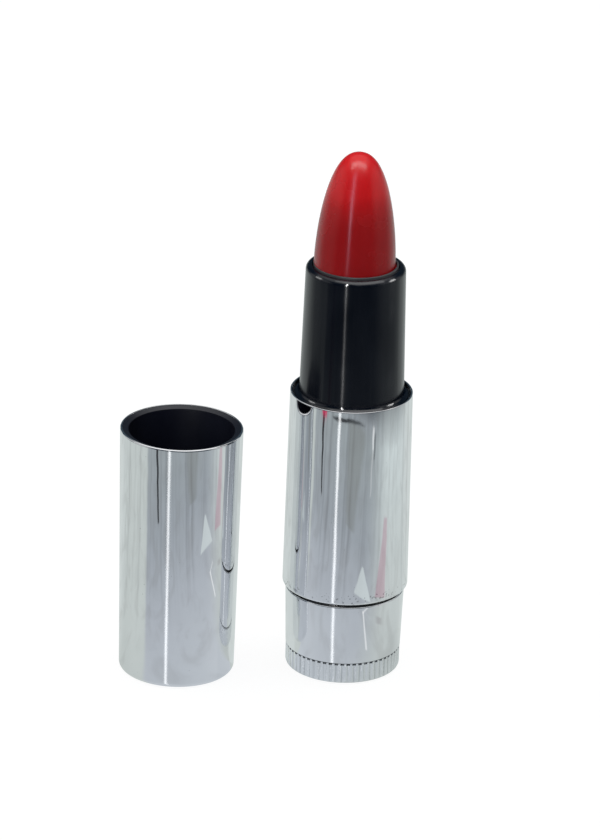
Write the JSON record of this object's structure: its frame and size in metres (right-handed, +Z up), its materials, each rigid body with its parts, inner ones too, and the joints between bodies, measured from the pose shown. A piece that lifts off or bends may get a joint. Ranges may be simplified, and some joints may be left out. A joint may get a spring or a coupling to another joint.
{
  "type": "lipstick case",
  "caption": "Twist-up lipstick case with its wax raised from a round neck, and a separate cap standing upside down beside it.",
  "frame": {"origin": "centre of the case's foot, on the surface that it stands on", "axes": "+Z up along the case's axis towards the wax's tip; the cap stands beside the case towards -X; +Y is away from the viewer"},
  "size_m": [0.0459, 0.0232, 0.0858],
  "materials": {
    "shell_chrome": "polished bright chrome",
    "fluted_chrome": "bright chrome over fine flutes",
    "neck_plastic": "glossy black moulding",
    "core_plastic": "black moulding, lightly greased",
    "liner_plastic": "satin black moulding",
    "cup_plastic": "satin black moulding",
    "ring_silicone": "translucent grey silicone",
    "slug_steel": "turned steel, zinc plated",
    "label_paper": "blank matt label with a coloured shade dot",
    "red_wax": "smooth moulded lipstick wax with a soft gloss"
  },
  "bodies": {
    "base": {"fluted_foot": "fluted_chrome", "base_label": "label_paper", "base_weight": "slug_steel", "base_core": "core_plastic", "base_shell": "shell_chrome", "inner_tube": "neck_plastic", "friction_ring": "ring_silicone"},
    "sleeve": {"cam_tube": "core_plastic", "sleeve_shell": "shell_chrome"},
    "carrier": {"carrier_cup": "cup_plastic", "wax_bullet": "red_wax"},
    "cap": {"cap_liner": "liner_plastic", "cap_shell": "shell_chrome"}
  },
  "joints": [
    {"name": "sleeve_twist", "type": "hinge", "parent": "base", "child": "sleeve", "pos_m": [0, 0, 0.03], "axis": [0, 0, 1], "range_deg": [0, 540]},
    {"name": "carrier_slide", "type": "slide", "parent": "base", "child": "carrier", "axis": [0, 0, 1], "range_m": [-0.021, 0]},
    {"name": "cap_lift", "type": "slide", "parent": "base", "child": "cap", "axis": [0, 0, 1], "range_m": [0, 0.09]}
  ],
  "couplings": [
    {"joint": "carrier_slide", "follows": "sleeve_twist", "m_per_rad": -0.002228}
  ]
}
